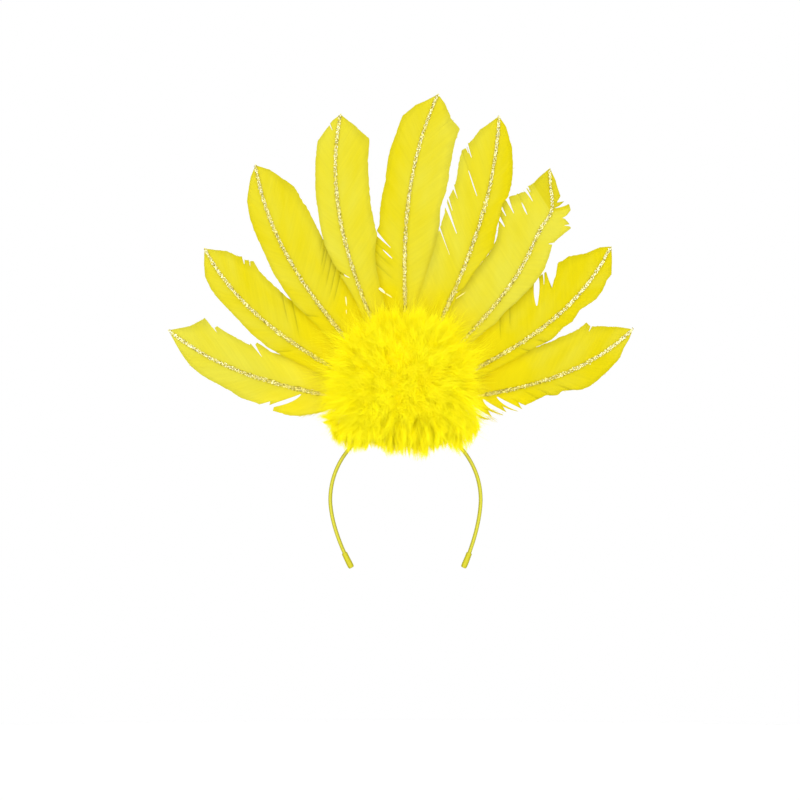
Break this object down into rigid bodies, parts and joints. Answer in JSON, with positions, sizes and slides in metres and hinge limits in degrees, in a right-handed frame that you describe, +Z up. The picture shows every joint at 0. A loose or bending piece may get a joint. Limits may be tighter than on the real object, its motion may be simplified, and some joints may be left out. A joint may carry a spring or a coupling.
{
  "type": "carnival feather headdress",
  "caption": "Fan of trimmed, dyed goose feathers with glitter lines, rising from a marabou fluff mass on a slim satin-covered headband.",
  "frame": {"origin": "inner top centre of the headband, where it sits on the crown of the head", "axes": "+Z up, from the head to the feather tips; -Y is the front, the side with the glitter lines and the fluff; +X is to the right as seen from the front"},
  "size_m": [0.37, 0.0499, 0.3786],
  "materials": {
    "satin": "yellow polyester satin glued over a springy band, soft sheen",
    "felt": "yellow felt, matt",
    "feather": "goose feather dyed lemon yellow, slightly glossy barbs",
    "glitter": "champagne glitter in clear glue",
    "marabou": "marabou down dyed lemon yellow, matt and fluffy"
  },
  "bodies": {
    "root": {"headband": "satin", "band_end_left": "satin", "band_end_right": "satin", "backing": "felt", "feather_1": "feather", "feather_2": "feather", "feather_3": "feather", "feather_4": "feather", "feather_5": "feather", "feather_6": "feather", "feather_7": "feather", "feather_8": "feather", "feather_9": "feather", "glitter_line_1": "glitter", "glitter_line_2": "glitter", "glitter_line_3": "glitter", "glitter_line_4": "glitter", "glitter_line_5": "glitter", "glitter_line_6": "glitter", "glitter_line_7": "glitter", "glitter_line_8": "glitter", "glitter_line_9": "glitter", "marabou_upper": "marabou", "marabou_lower": "marabou"}
  },
  "joints": []
}
